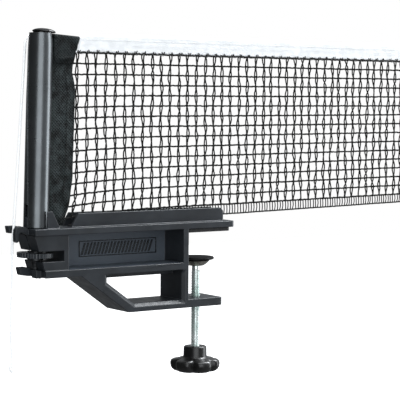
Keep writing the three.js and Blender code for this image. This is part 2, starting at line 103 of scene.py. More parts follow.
# ---------------------------------------------------------------- camera
def make_camera():
    """The photograph's viewing angle, place and field of view."""
    pitch, roll = math.radians(-3.727), math.radians(0.432)
    ahead = Vector((math.sin(YAW) * math.cos(pitch), math.cos(YAW) * math.cos(pitch), math.sin(pitch)))
    level = Vector((math.cos(YAW), -math.sin(YAW), 0))
    upright = level.cross(ahead)
    right = level * math.cos(roll) + upright * math.sin(roll)
    up = upright * math.cos(roll) - level * math.sin(roll)
    camera = bpy.data.objects.new("camera", bpy.data.cameras.new("camera"))
    turn = Matrix((right, up, -ahead)).transposed().to_4x4()
    camera.matrix_world = Matrix.Translation((-0.743463, -1.065942, 0.109055)) @ turn
    camera.data.lens = 148.05
    scene.collection.objects.link(camera)
    scene.camera = camera


# ---------------------------------------------------------------- materials
def blank_material(name, roughness, metallic=0.0, **sockets):
    """A Principled material with its constants set on the shader itself."""
    made = bpy.data.materials.new(name)
    made.use_nodes = True
    shader = made.node_tree.nodes["Principled BSDF"]
    shader.inputs["Roughness"].default_value = roughness
    shader.inputs["Metallic"].default_value = metallic
    for socket, value in sockets.items():
        shader.inputs[socket.replace("_", " ")].default_value = value
    return made, made.node_tree, shader


def add_node(tree, kind, inputs=(), **settings):
    node = tree.nodes.new(kind)
    for key, value in settings.items():
        setattr(node, key, value)
    for socket, value in dict(inputs).items():
        if isinstance(value, bpy.types.NodeSocket):
            tree.links.new(value, node.inputs[socket])
        else:
            node.inputs[socket].default_value = value
    return node


def coordinates(tree, kind="Object"):
    return add_node(tree, "ShaderNodeTexCoord").outputs[kind]


def noise_value(tree, where, size, detail, roughness=0.5):
    """Noise whose features are about size metres across."""
    inputs = {"Vector": where, "Scale": 1 / size, "Detail": detail, "Roughness": roughness}
    return add_node(tree, "ShaderNodeTexNoise", inputs).outputs["Fac"]


def maths(tree, operation, first, second=0.0):
    return add_node(tree, "ShaderNodeMath", {0: first, 1: second}, operation=operation).outputs[0]


def spread(tree, value, low, high, start=0.35, end=0.65):
    """Maps noise, which mostly lies from start to end, to the range low to high."""
    inputs = {"Value": value, "From Min": start, "From Max": end, "To Min": low, "To Max": high}
    return add_node(tree, "ShaderNodeMapRange", inputs).outputs[0]


def tint(tree, shader, factor, dark, light):
    mix = add_node(tree, "ShaderNodeMix", data_type="RGBA")
    mix.inputs["A"].default_value = (*dark, 1)
    mix.inputs["B"].default_value = (*light, 1)
    tree.links.new(factor, mix.inputs["Factor"])
    tree.links.new(mix.outputs["Result"], shader.inputs["Base Color"])


def relief(tree, shader, height, depth):
    bump = add_node(tree, "ShaderNodeBump", {"Height": height, "Strength": 1.0, "Distance": depth})
    tree.links.new(bump.outputs["Normal"], shader.inputs["Normal"])


def moulded(name, dark, light, rough, grain, depth, metallic=0.0, **sockets):
    """Moulded plastic, rubber, paint or metal: cloudy colour, uneven gloss and a fine surface grain."""
    made, tree, shader = blank_material(name, rough[0], metallic, **sockets)
    where = coordinates(tree)
    cloud = noise_value(tree, where, 0.02, 3.0)
    fine = noise_value(tree, where, grain, 2.0, 0.6)
    tint(tree, shader, spread(tree, cloud, 0, 1), dark, light)
    gloss = noise_value(tree, where, 0.006, 4.0)
    tree.links.new(spread(tree, gloss, rough[0], rough[1]), shader.inputs["Roughness"])
    relief(tree, shader, fine, depth)
    return made


def woven(name, dark, light, pitch, depth, roughness, **sockets):
    """Plain-woven cloth laid on the diagonal, its threads pitch metres apart."""
    made, tree, shader = blank_material(name, roughness, **sockets)
    where = coordinates(tree)
    split = add_node(tree, "ShaderNodeSeparateXYZ", {"Vector": where})
    x, z = split.outputs["X"], split.outputs["Z"]
    turn = 2 * math.pi / (pitch * math.sqrt(2))
    warp = maths(tree, "SINE", maths(tree, "MULTIPLY", maths(tree, "ADD", x, z), turn))
    weft = maths(tree, "SINE", maths(tree, "MULTIPLY", maths(tree, "SUBTRACT", x, z), turn))
    threads = maths(tree, "MAXIMUM", warp, weft)
    cloud = spread(tree, noise_value(tree, where, 0.006, 4.0), -0.9, 0.9)
    fuzz = spread(tree, noise_value(tree, where, 0.0004, 2.0), -0.3, 0.3)
    shade = maths(tree, "ADD", maths(tree, "ADD", threads, cloud), fuzz)
    tint(tree, shader, spread(tree, shade, 0, 1, -0.6, 1.4), dark, light)
    relief(tree, shader, shade, depth)
    return made


def threaded(name, dark, light, around, pitch, depth, roughness, **sockets):
    """Braided or twisted yarn on a tube whose UV runs round it and, in metres, along it."""
    made, tree, shader = blank_material(name, roughness, **sockets)
    split = add_node(tree, "ShaderNodeSeparateXYZ", {"Vector": coordinates(tree, "UV")})
    angle = maths(tree, "MULTIPLY", split.outputs["X"], 2 * math.pi * around)
    run = maths(tree, "MULTIPLY", split.outputs["Y"], 2 * math.pi / pitch)
    left = maths(tree, "SINE", maths(tree, "ADD", run, angle))
    right = maths(tree, "SINE", maths(tree, "SUBTRACT", run, angle))
    strands = maths(tree, "MAXIMUM", left, right)
    fuzz = spread(tree, noise_value(tree, coordinates(tree), 0.0005, 3.0), -0.4, 0.4)
    shade = maths(tree, "ADD", strands, fuzz)
    tint(tree, shader, spread(tree, shade, 0, 1, -0.8, 1.0), dark, light)
    relief(tree, shader, shade, depth)
    return made


def frame_plastic(dark, light, painted_light_colour):
    """The frame's plastic, with painted light: inside the outline of the recessed part between the flanges
    its colour is painted paler, to stand in for light that reaches in there.
    """
    made = moulded("frame_plastic", dark, light, (0.36, 0.46), 0.0004, 0.000012)
    tree = made.node_tree
    shader = tree.nodes["Principled BSDF"]
    # Painted light: this mask picks out the recessed part between the flanges, and the mix below paints it in
    # the paler colour.
    middle_x, middle_z = -0.0734, -0.00985
    split = add_node(tree, "ShaderNodeSeparateXYZ", {"Vector": coordinates(tree)})
    along = maths(tree, "ABSOLUTE", maths(tree, "SUBTRACT", split.outputs["X"], middle_x))
    upward = maths(tree, "ABSOLUTE", maths(tree, "SUBTRACT", split.outputs["Z"], middle_z))
    wide, tall = spread(tree, along, 1, 0, 0.0503, 0.0506), spread(tree, upward, 1, 0, 0.0133, 0.0136)
    deep = spread(tree, split.outputs["Y"], 0, 1, -0.0152, -0.0132)
    painted_light_mask = maths(tree, "MULTIPLY", maths(tree, "MULTIPLY", wide, tall), deep)
    plain = shader.inputs["Base Color"].links[0].from_socket
    mix = add_node(tree, "ShaderNodeMix", data_type="RGBA")
    mix.inputs["B"].default_value = (*painted_light_colour, 1)
    tree.links.new(plain, mix.inputs["A"])
    tree.links.new(painted_light_mask, mix.inputs["Factor"])
    tree.links.new(mix.outputs["Result"], shader.inputs["Base Color"])
    return made


def neutral(value):
    return value, value, value


def bluish(value):
    return value, value * 1.22, value * 1.5


def make_materials():
    return {
        # The frame's third colour is painted light: the paler colour inside the recessed part between the
        # flanges.
        "frame": frame_plastic(bluish(0.0105), bluish(0.0165), bluish(0.062)),
        "ribs": moulded("rib_plastic", bluish(0.008), bluish(0.012), (0.2, 0.3), 0.0004, 0.000006),
        "pad": moulded("pad_rubber", neutral(0.012), neutral(0.022), (0.7, 0.9), 0.0007, 0.00004),
        "disc": moulded(
            "disc_rubber", neutral(0.003), neutral(0.007), (0.5, 0.65), 0.0006, 0.00001,
            Specular_IOR_Level=0.12),
        "zinc": moulded(
            "zinc_steel", (0.66, 0.77, 0.73), (0.96, 1.0, 0.99), (0.18, 0.28), 0.001, 0.000006, 0.82),
        "dark_steel": moulded(
            "dark_steel", (0.2, 0.19, 0.165), (0.45, 0.43, 0.37), (0.22, 0.36), 0.001, 0.00001, 0.9),
        "stud": moulded(
            "stud_steel", (0.02, 0.021, 0.022), (0.045, 0.047, 0.05), (0.3, 0.42), 0.001, 0.00001, 0.7),
        "cap": moulded(
            "cap_plastic", neutral(0.003), neutral(0.006), (0.2, 0.28), 0.004, 0.000004,
            Specular_IOR_Level=0.28),
        "gloss": moulded("gloss_black", neutral(0.005), neutral(0.008), (0.26, 0.34), 0.004, 0.000004),
        "wheel": moulded("wheel_plastic", bluish(0.011), bluish(0.018), (0.24, 0.34), 0.0005, 0.00001),
        "post": moulded(
            "post_finish", (0.13, 0.14, 0.147), (0.15, 0.162, 0.17), (0.27, 0.31), 0.0015, 0.000002, 0.92),
        "rod": moulded("rod_plastic", bluish(0.02), bluish(0.03), (0.4, 0.5), 0.0008, 0.00001),
        "cloth": woven(
            "black_fabric", neutral(0.0), (0.029, 0.038, 0.039), 0.0017, 0.0003, 0.8,
            Specular_IOR_Level=0.2),
        # The flap is the same black cloth as the hem, given a darker colour: painted shade.
        "flap": woven(
            "flap_fabric_painted_shade", neutral(0.0), (0.016, 0.021, 0.022), 0.0017, 0.0003, 0.8,
            Specular_IOR_Level=0.15),
        "string": threaded(
            "net_string", neutral(0.002), (0.012, 0.012, 0.011), 1, 0.0016, 0.0001, 0.75,
            Specular_IOR_Level=0.2),
        "tape": woven(
            "white_tape", (0.61, 0.625, 0.635), (0.735, 0.747, 0.757), 0.0007, 0.00004, 0.6),
        "stitch": threaded(
            "white_stitch", (0.6, 0.62, 0.64), (0.9, 0.9, 0.9), 2, 0.001, 0.0001, 0.6),
        "cord": threaded(
            "white_cord", (0.9, 0.92, 0.93), (0.99, 0.99, 0.99), 3, 0.0026, 0.00008, 0.75),
    }


# ---------------------------------------------------------------- mesh helpers
def add_object(name, points, faces, finish, body, uvs=None, sharp=35):
    """A mesh of points in millimetres, riding on a body."""
    mesh = bpy.data.meshes.new(name)
    mesh.from_pydata((np.asarray(points, float) * MM).tolist(), [], faces)
    mesh.materials.append(finish)
    if uvs is not None:
        layer = mesh.uv_layers.new(name="UVMap")
        layer.data.foreach_set("uv", np.asarray(uvs, float).ravel())
    mesh.update()
    mesh.shade_smooth()
    mesh.set_sharp_from_angle(angle=math.radians(sharp))
    made = bpy.data.objects.new(name, mesh)
    scene.collection.objects.link(made)
    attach(made, body)
    return made


class Batch:
    """Gathers the points, faces and UVs of many small shapes into one mesh."""

    def __init__(self):
        self.points, self.faces, self.uvs, self.count = [], [], [], 0

    def add(self, points, faces, uvs):
        self.points.append(np.asarray(points, float))
        self.faces.extend([tuple(i + self.count for i in face) for face in faces])
        self.uvs.extend(uvs)
        self.count += len(points)

    def tube(self, path, radius, sides):
        self.add(*tube(path, radius, sides))

    def object(self, name, finish, body, slot):
        return add_object(name, np.concatenate(self.points), self.faces, finish, body, self.uvs)


def tube(path, radius, sides):
    """A round tube along a path in millimetres, with closed ends.

    Radius is a number, or one for each point."""
    path = np.asarray(path, float)
    radius = np.broadcast_to(np.asarray(radius, float), len(path))
    along = np.gradient(path, axis=0)
    along /= np.linalg.norm(along, axis=1)[:, None]
    seed = np.array((0.0, 1.0, 0.0)) if abs(along[0][1]) < 0.9 else np.array((1.0, 0.0, 0.0))
    side = np.empty_like(path)
    for i, direction in enumerate(along):
        seed = seed - direction * (seed @ direction)
        seed /= np.linalg.norm(seed)
        side[i] = seed
    other = np.cross(along, side)
    turns = np.linspace(0, 2 * math.pi, sides, endpoint=False)
    ring = np.cos(turns)[None, :, None] * side[:, None] + np.sin(turns)[None, :, None] * other[:, None]
    points = (path[:, None] + ring * radius[:, None, None]).reshape(-1, 3)
    distance = np.concatenate([[0], np.cumsum(np.linalg.norm(np.diff(path, axis=0), axis=1))]) * MM
    faces, uvs = [], []
    for i in range(len(path) - 1):
        for j in range(sides):
            k = (j + 1) % sides
            faces.append((i * sides + j, i * sides + k, (i + 1) * sides + k, (i + 1) * sides + j))
            u, v = j / sides, (j + 1) / sides
            uvs += [(u, distance[i]), (v, distance[i]), (v, distance[i + 1]), (u, distance[i + 1])]
    last = (len(path) - 1) * sides
    faces.append(tuple(range(sides - 1, -1, -1)))
    faces.append(tuple(range(last, last + sides)))
    uvs += [(0, 0)] * sides + [(0, distance[-1])] * sides
    return points, faces, uvs


def smooth_path(points, steps):
    """A Catmull-Rom curve through the points, with steps samples a span."""
    points = [Vector(p) for p in points]
    padded = [points[0] * 2 - points[1], *points, points[-1] * 2 - points[-2]]
    path = []
    for a, b, c, d in zip(padded, padded[1:], padded[2:], padded[3:]):
        for i in range(steps):
            t = i / steps
            square, cube = 2 * a - 5 * b + 4 * c - d, 3 * b - a - 3 * c + d
            path.append(0.5 * (2 * b + (c - a) * t + square * t**2 + cube * t**3))
    return [*path, points[-1]]


def grid_faces(rows, columns, skip=None):
    return [
        (i * columns + j, i * columns + j + 1, (i + 1) * columns + j + 1, (i + 1) * columns + j)
        for i in range(rows - 1) for j in range(columns - 1)
        if skip is None or not skip(i, j)
    ]


def cloth_sheet(name, grid, finish, thickness=CLOTH, skip=None):
    """A sheet of cloth from a grid of points, given its thickness by Solidify. Rides with the post."""
    grid = np.asarray(grid, float)
    faces = grid_faces(*grid.shape[:2], skip)
    made = add_object(name, grid.reshape(-1, 3), faces, finish, "post", sharp=80)
    solid = made.modifiers.new("thickness", "SOLIDIFY")
    solid.thickness = thickness * MM
    solid.offset = 0
    return made


def axis_x(z):
    """Where the leaning post's axis is at height z."""
    return POST_FOOT.x + (z - POST_FOOT.z) * math.tan(LEAN)


def from_post(points):
    """Points in the post's own upright frame, moved to where the leaning post stands."""
    turn = Matrix.Rotation(LEAN, 3, "Y")
    return [turn @ Vector(p) + POST_FOOT for p in points]


def revolve(profile, segments, lobes=lambda angle, part: 1.0):
    """A closed solid of revolution from [radius, z] points that start and end on the axis."""
    points = [(0, 0, profile[0][1])]
    for part, (radius, z) in enumerate(profile[1:-1]):
        for j in range(segments):
            angle = 2 * math.pi * j / segments
            reach = radius * lobes(angle, part)
            points.append((reach * math.cos(angle), reach * math.sin(angle), z))
    points.append((0, 0, profile[-1][1]))
    rings, last = len(profile) - 2, len(points) - 1
    faces = []
    for j in range(segments):
        k = (j + 1) % segments
        faces.append((0, 1 + k, 1 + j))
        for i in range(rings - 1):
            low, high = 1 + i * segments, 1 + (i + 1) * segments
            faces.append((low + j, low + k, high + k, high + j))
        top = 1 + (rings - 1) * segments
        faces.append((top + j, top + k, last))
    return points, faces


def threaded_rod(radius, core, pitch, low, high, segments, plain, plain_segments):
    """A thread on a plain turned core, whose profile and segments come last."""
    points, faces = thread(radius, core, pitch, low, high, segments)
    core_points, core_faces = revolve(plain, plain_segments)
    faces += [tuple(i + len(points) for i in face) for face in core_faces]
    return points + core_points, faces


def thread(radius, core, pitch, low, high, segments):
    """A helical screw thread with flanks, crest and root, closed to a plain core at both ends."""
    profile = [(core, 0.0), (radius, 0.38), (radius, 0.5), (core, 0.88)]
    turns = int((high - low) / pitch) - 1
    steps = turns * segments
    points = []
    for i in range(steps + 1):
        angle = 2 * math.pi * i / segments
        fade = min(1.0, i / segments, (steps - i) / segments)
        for reach, part in profile:
            r = core + (reach - core) * fade
            z = low + pitch * (i / segments + part)
            points.append((r * math.cos(angle), r * math.sin(angle), z))
    faces = []
    for i in range(steps):
        for j in range(3):
            a = i * 4 + j
            faces.append((a, a + 4, a + 5, a + 1))
        if i + segments < steps:
            a, b = i * 4 + 3, (i + segments) * 4
            faces.append((a, a + 4, b + 4, b))
    return points, faces


# ---------------------------------------------------------------- tension cord
def make_knot(finish):
    """The cord's end: a small overhand knot with a short cut tail."""
    turns = np.linspace(0, 2 * math.pi, 61)
    reach = 1.15 + 0.55 * np.cos(3 * turns)
    across, deep, tall = reach * np.cos(2 * turns), 0.75 * np.sin(3 * turns), 1.25 * reach * np.sin(2 * turns)
    through = [(0, 0, 2.6), (0.5, -0.4, 0), (0.3, 0, -2), (0.7, 0.1, -3.2)]
    batch = Batch()
    batch.tube(np.stack([across, deep, tall], axis=1) + KNOT_CENTRE, 0.85, 10)
    batch.tube(smooth_path([KNOT_CENTRE + p for p in through], 4), 0.9, 10)
    knot = batch.object("knot", finish, "post", "white_cord")
    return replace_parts(knot, "cord_knot")


def make_cord(finish):
    knot = make_knot(finish)
    path = smooth_path(CORD_ROUTE, 5)
    points, faces, uvs = tube(path, 1.0, 12)
    cord = add_object("cord_braid", points, faces, finish, "post", uvs)
    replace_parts(cord, "tension_cord")


# ---------------------------------------------------------------- net
def hem_edge_x(z):
    return float(np.interp(z, [p[1] for p in HEM_EDGE], [p[0] for p in HEM_EDGE]))


def near_hem(x):
    """1 at the hem, falling away along the net."""
    return math.exp(-(x - HEM_PLACE) / 45)


def net_bottom(x):
    return 12.5 + 0.02 * max(0, x - 30) - 3.0 * near_hem(x)


def tape_sink(x):
    """How far the tape has sunk at x from its height at the hem."""
    return TAPE_SLOPE * (x - TAPE_START)


def row_z(row, x):
    """Height of a row of the net: 0 is the line above the bottom band, ROWS the line under the tape."""
    base = net_bottom(x) + 7.9 - 0.006 * max(0, x - 30) - 1.9 * near_hem(x)
    return base + (NET_TOP - tape_sink(x) - base) * row / ROWS


def net_columns():
    """The columns' places: the cells get a little narrower away from the post."""
    columns = [NET_LEFT]
    while columns[-1] < NET_RIGHT - 9:
        columns.append(columns[-1] + 8.4 - 0.0035 * max(0, columns[-1] + 20))
    return columns


def flare(x, z):
    """Near its bottom corner the net is drawn towards the post."""
    return -3.2 * max(0, (50 - z) / 30) ** 1.5 * math.exp(-(x - HEM_PLACE) / 35)


def net_row(batch, row, columns):
    start = hem_edge_x(row_z(row, NET_LEFT)) - 3
    path, radius = [], []
    for x in np.arange(start, NET_RIGHT + 1.4, ROW_STEP):
        nearest = min(abs(x - c) for c in columns)
        path.append((x, 0.1 * math.sin(x), row_z(row, x) + chance.uniform(-0.2, 0.2)))
        radius.append(0.72 + 0.16 * math.exp(-((nearest / 0.9) ** 2)) + chance.uniform(-0.09, 0.09))
    batch.tube(path, radius, 6)


def net_column(batch, x, places):
    """Two thin strands that part and cross between the rows and are tied at each of them."""
    pinch = [chance.uniform(0.5, 0.8) for _ in range(ROWS + 1)]
    bulge = [chance.uniform(0.45, 0.95) for _ in range(ROWS)]
    crossed = [chance.random() < 0.1 for _ in range(ROWS)]
    bow = [chance.uniform(-0.5, 0.5) for _ in range(ROWS)]
    for side in (-1, 1):
        path, hand = [], side
        for row in range(ROWS):
            for t in np.arange(0, 1, 0.125):
                swell = math.sin(math.pi * t)
                middle = places[row] + (places[row + 1] - places[row]) * t + bow[row] * swell
                apart = pinch[row] * (1 - t) + pinch[row + 1] * t
                apart += (bulge[row] - apart) * swell
                turn = math.cos(math.pi * t) if crossed[row] else 1.0
                low, high = row_z(row, x), row_z(row + 1, x)
                over = 0.6 * side * (-1) ** row * math.cos(math.pi * t)
                place = middle + hand * apart * turn + chance.uniform(-0.13, 0.13)
                path.append((place, over, low + (high - low) * t))
            hand = -hand if crossed[row] else hand
        path.append((places[ROWS] + hand * pinch[ROWS], -1.2 * side, row_z(ROWS, x) + 0.4))
        batch.tube(path, 0.55, 5)


def bead(batch, centre, wide, tall):
    """A net knot."""
    profile = [(0, -tall), (wide * 0.8, -tall * 0.6), (wide, 0), (wide * 0.8, tall * 0.6), (0, tall)]
    points, faces = revolve(profile, 8)
    loops = sum(len(face) for face in faces)
    batch.add(np.asarray(points) + np.asarray(centre), faces, [(0.0, 0.0)] * loops)


def top_line(batch, columns, side):
    """The line of stitching that binds the net to the tape, with a pair of loops up at each column."""
    depth = side * KNOT_LINE
    stations = np.arange(-111, NET_RIGHT, 1.1)
    path = [(x, depth, row_z(ROWS, x) + chance.uniform(-0.32, 0.32)) for x in stations]
    batch.tube(path, 0.8, 6)
    for x in columns:
        for lean in (-0.8, 0.7):
            foot = np.array((x + lean + chance.uniform(-0.2, 0.2), depth, row_z(ROWS, x)))
            tip = chance.uniform(-0.7, 0.9)
            rise = chance.uniform(1.3, 2.3)
            points = [foot, foot + (tip * 0.3, side * 0.35, rise * 0.6), foot + (tip, side * 0.2, rise)]
            batch.tube(smooth_path(points, 3), 0.4, 5)


def bottom_band(batch, columns):
    """The net's bottom edge: a cord, with three short strands to each cell above it."""
    stations = np.arange(-117, NET_RIGHT + 1.4, 1.5)
    batch.tube([(x, 0, net_bottom(x) + chance.uniform(-0.1, 0.1)) for x in stations], 0.65, 6)
    for left, right in zip(columns, columns[1:]):
        for share in (0.0, 0.34, 0.67):
            x = left + (right - left) * share + chance.uniform(-0.3, 0.3)
            low, high = net_bottom(x), row_z(0, x)
            lean = chance.uniform(-0.5, 0.5)
            points = [(x + lean, 0.3, low), (x - lean * 0.5, -0.2, (low + high) / 2), (x, 0.3, high)]
            batch.tube(smooth_path(points, 3), 0.45, 5)


def make_net(finish):
    batch, columns = Batch(), net_columns()
    for row in range(ROWS):
        net_row(batch, row, columns)
    for x in columns:
        drift = chance.uniform(-0.4, 0.4)
        places = []
        for row in range(ROWS + 1):
            z = row_z(row, x)
            drift = 0.55 * drift + chance.uniform(-0.6, 0.6)
            places.append(max(x + flare(x, z) + drift, hem_edge_x(z) + 1.2))
        net_column(batch, x, places)
        for row in range(1, ROWS):
            bead(batch, (places[row], 0, row_z(row, x)), 0.85, 0.72)
    for side in (-1, 1):
        top_line(batch, columns, side)
    bottom_band(batch, columns)
    net = batch.object("net_strings", finish, "post", "net_string")
    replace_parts(net, "net_mesh")


# ---------------------------------------------------------------- cloth
def ripple(x, z, size, seed):
    """A smooth random fold, from -1 to 1, about size millimetres across."""
    return noise.noise(Vector((x / size, seed, z / size)))


def hem_path(z):
    """One level of the sleeve: front layer, round the rod inside the post, and back along the rear layer."""
    centre, edge = axis_x(z), hem_edge_x(z) - 0.8
    inside = SLEEVE[0] < z < SLEEVE[1]
    mouth = centre + (2.4 if inside else POST_RADIUS + 0.6)
    level = []
    for i in range(HEM_COLUMNS):
        share = i / (HEM_COLUMNS - 1)
        x = edge + (mouth - edge) * share
        clear = max(0.0, min(1.0, (x - centre - POST_RADIUS - 1) / 5))
        fold = clear * (0.35 + 0.45 * ripple(x * 1.7, z, 9, 3) + 0.12 * ripple(x, z, 2.5, 8))
        creep = clear * 0.5 * max(0, (60 - z) / 45) * math.sin((x + z * 0.6) / 2.1)
        level.append((x, -HEM_LAYER - max(0.0, fold + creep), z))
    rear = []
    for x, _, _ in level:
        clear = min(1, max(0, (x - centre - 10.5) / 5))
        rear.append((x, HEM_LAYER + max(0.0, 0.3 + 0.4 * ripple(x, z, 8, 21)) * clear, z))
    for angle in np.radians(np.arange(-40, -321, -40)):
        x = centre + ROD_TURN * math.cos(angle) if inside else mouth - 0.3 * abs(math.sin(angle / 2))
        y = (ROD_TURN if inside else HEM_LAYER) * math.sin(angle)
        level.append((x, y, z))
    return level + rear[::-1]


def make_side_hem(finish, seam):
    levels = [9.2, *np.arange(11, 46, 2), 46.4, 46.6, *np.arange(49, 147, 2), 147.1, 147.6, 148.8]
    grid = [hem_path(float(z)) for z in levels]

    def skip(i, j):
        """The sleeve is slit where it starts and stops going round the rod."""
        slit = any(levels[i] < limit < levels[i + 1] for limit in SLEEVE)
        return slit and HEM_COLUMNS - 4 <= j <= HEM_COLUMNS + 13

    hem = cloth_sheet("side_hem_cloth", grid, finish, skip=skip)
    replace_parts(hem, "side_hem")


def make_hem_flap(finish):
    """The top of the hem, folded over the tape's end and stitched down."""
    rows = []
    for share in np.linspace(0, 1, 21):
        level = []
        top = FLAP_TOP + 1.6 * (1 - share)
        for z in np.linspace(FLAP_LOW, top, 22):
            right, left = hem_edge_x(z) - 0.9, axis_x(z) + POST_RADIUS + 0.8
            x = left + (right - left) * share
            sag = 0.9 * math.sin(math.pi * share) * (151 - z) / 22
            drop = 0.8 * math.sin(2.4 * share) if z < 132 else 0
            above_ridge = (z - 133.2 - 1.5 * share) / 1.3
            ridge = 1.3 * math.sin(math.pi * share) * math.exp(-above_ridge**2)
            y = -FLAP_LAYER - 0.7 * abs(ripple(x, z, 6, 5)) - ridge
            level.append((x, y, z - drop - sag * 0.2))
        turn = np.radians((30, 70, 110, 150))
        arc = [(level[-1][0], -FLAP_LAYER * math.cos(a), top + 1.0 * math.sin(a)) for a in turn]
        rear = [(x, FLAP_LAYER + 0.3 * abs(ripple(x, z, 6, 15)), z) for x, _, z in reversed(level)]
        rows.append(level + arc + rear)
    flap = cloth_sheet("hem_flap", rows, finish)


def make_hem_seam(finish):
    """Two rows of lock stitches that hold the hem's layers to the net."""
    batch = Batch()
    for inset in (1.8, 7.5):
        for z in np.arange(22, 128, 2.6):
            x = hem_edge_x(z) - inset
            y = hem_front_y(x, z) - 0.32
            ends = [(x, y + 0.25, z), (x, y, z + 0.4), (x, y, z + 1.5), (x, y + 0.25, z + 1.9)]
            batch.tube(smooth_path(ends, 2), 0.17, 5)
            batch.tube([(px, -py, pz) for px, py, pz in ends], 0.17, 5)
    return batch.object("hem_seam", finish, "post", "black_fabric")


def hem_front_y(x, z):
    """The front layer's place in depth at a point of the hem."""
    level = hem_path(z)[:HEM_COLUMNS]
    return float(np.interp(-x, [-p[0] for p in level], [p[1] for p in level]))


def tape_path(share):
    """One cross-section of the folded tape, as y and z: up the front, round the cord, down the rear."""
    crease = 0.16 * ripple(share, 0, 30, 2)
    levels = np.linspace(TAPE_LOW, 150.6, 12)
    front = [(-TAPE_LAYER - 0.14 * ripple(share / 3, z, 3.2, 31) + crease, z) for z in levels]
    turn = np.radians(range(10, 180, 20))
    arc = [(-TAPE_LAYER * math.cos(a), TAPE_TURN + TAPE_LAYER * math.sin(a)) for a in turn]
    rear = [(TAPE_LAYER + 0.14 * ripple(share / 3, z, 3.2, 41) + crease, z) for z in levels[::-1]]
    return front + arc + rear


def make_tape(finish, stitch_finish):
    grid = []
    for share in np.linspace(0, 1, 130):
        row = []
        for y, z in tape_path(share):
            left = hem_edge_x(min(z, 151)) - 1.5
            x = left + (NET_RIGHT + 0.8 - left) * share
            wave = 0.14 * ripple(x / 4, z, 3.0, 31) + 0.16 * ripple(x, 0, 30, 2)
            tuck = 0.86 + 0.14 * min(1, (x + 108) / 10)
            y += wave if y > 0 else -wave
            row.append((x, y, TAPE_LOW + (z - TAPE_LOW) * tuck - tape_sink(x)))
        grid.append(row)
    tape = cloth_sheet("tape_band", grid, finish, TAPE_CLOTH)
    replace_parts(tape, "net_top_tape")
    batch = Batch()
    for height in (139.9, 148.3):
        for x in np.arange(-106, NET_RIGHT - 1, 3.1):
            z = height - tape_sink(x)
            for side in (-1, 1):
                ends = ((0, 1.8), (0.4, 2.12), (1.8, 2.12), (2.2, 1.8))
                batch.tube([(x + along, side * out, z) for along, out in ends], 0.16, 5)
    stitches = batch.object("tape_stitches", stitch_finish, "post", "white_tape")


def make_far_sleeve(finish):
    """The plain hem round a rod that ends the net outside the photograph's view."""
    grid = []
    flat = (226.0, 226.9, 227.8, 228.6)
    turn = np.radians(range(-110, 111, 22))
    for z in np.linspace(12.6, 153.2, 60):
        front = [(x, -FAR_LAYER - 0.25 * abs(ripple(x, z, 7, 51)), z) for x in flat]
        arc = [(FAR_MIDDLE + FAR_TURN * math.cos(a), FAR_TURN * math.sin(a), z) for a in turn]
        rear = [(x, FAR_LAYER + 0.25 * abs(ripple(x, z, 7, 61)), z) for x in flat[::-1]]
        grid.append(front + arc + rear)
    sleeve = cloth_sheet("far_sleeve", grid, finish)
    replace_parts(sleeve, "far_hem")


# ---------------------------------------------------------------- hard pieces
def make_screw(finish):
    plain = [(0, -108.3), (2.95, -108.3), (2.95, -27.8), (2.4, -27.8), (2.4, -24.5), (0, -24.5)]
    points, faces = threaded_rod(3.7, 2.9, 1.25, -108.1, -28.4, 24, plain, 28)
    screw = add_object("screw_thread", points, faces, finish, "screw", sharp=30)
    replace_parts(screw, "clamp_screw")


def make_stud(finish):
    plain = [(0, -30.5), (2.5, -30.5), (2.5, 24), (0, 24)]
    points, faces = threaded_rod(3.0, 2.45, 1.0, -30.4, 23.5, 20, plain, 24)
    stud = add_object("stud_thread", from_post(points), faces, finish, "post", sharp=60)
    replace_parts(stud, "height_stud")


def make_knob(finish):
    """Six lobes that swell away from the sharp valleys between them."""
    profile = [
        (0, -110.8), (6, -110.8), (7.4, -111.7), (12, -111.8), (14.4, -111.6), (16, -111), (17.2, -109.8),
        (18.1, -108.2), (18.5, -106), (18.4, -104.4), (17.9, -103.1), (16.7, -102.3), (14.6, -101.8),
        (12.4, -101.3), (10.6, -100.9), (9.7, -100.3), (9.3, -99.2), (9.15, -93.2), (8.9, -92.3),
        (8.2, -91.8), (4.4, -91.8), (4.1, -92.1), (4.1, -93), (6.3, -93.1), (6.3, -104.1), (4, -104.1),
        (4, -108.6), (0, -108.6),
    ]
    strength = [max(0.0, min(1.0, (radius - 10.5) / 6)) for radius, _ in profile[1:-1]]

    def lobes(angle, part):
        from_valley = (math.degrees(angle) - LOBE_VALLEY) % LOBE_STEP
        from_valley = min(from_valley, LOBE_STEP - from_valley)
        swell = 0.07 * math.sin(math.pi * from_valley / LOBE_STEP)
        valley = 0.17 * math.exp(-((from_valley / 8) ** 2))
        return 1 + strength[part] * (swell - valley)

    points, faces = revolve(profile, 144, lobes)
    knob = add_object("knob_grip", points, faces, finish, "screw", sharp=50)
    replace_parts(knob, "star_knob")


def make_cap(finish):
    """The post's cap: its rim rides up on the cord, so it leans a little towards the net."""
    profile = [
        (0, 0), (8, 0), (8.5, 0.1), (8.7, 0.4), (8.6, 0.85), (8.2, 1.25), (7.5, 1.65), (6.4, 2.1), (4.9, 2.5),
        (3.2, 2.76), (1.5, 2.88), (0, 2.9),
    ]
    points, faces = revolve(profile, 64)
    lean = Matrix.Rotation(CAP_TILT, 3, "Y")
    points = [lean @ Vector(p) + Vector((CAP_OFFSET, 0, CAP_SEAT)) for p in points]
    stem, stem_faces = revolve([(0, 139.5), (5.1, 139.5), (5.6, 140), (5.6, 145.5), (0, 145.5)], 40)
    faces += [tuple(i + len(points) for i in face) for face in stem_faces]
    cap = add_object("cap_dome", from_post(points + stem), faces, finish, "post", sharp=40)
    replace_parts(cap, "post_cap")


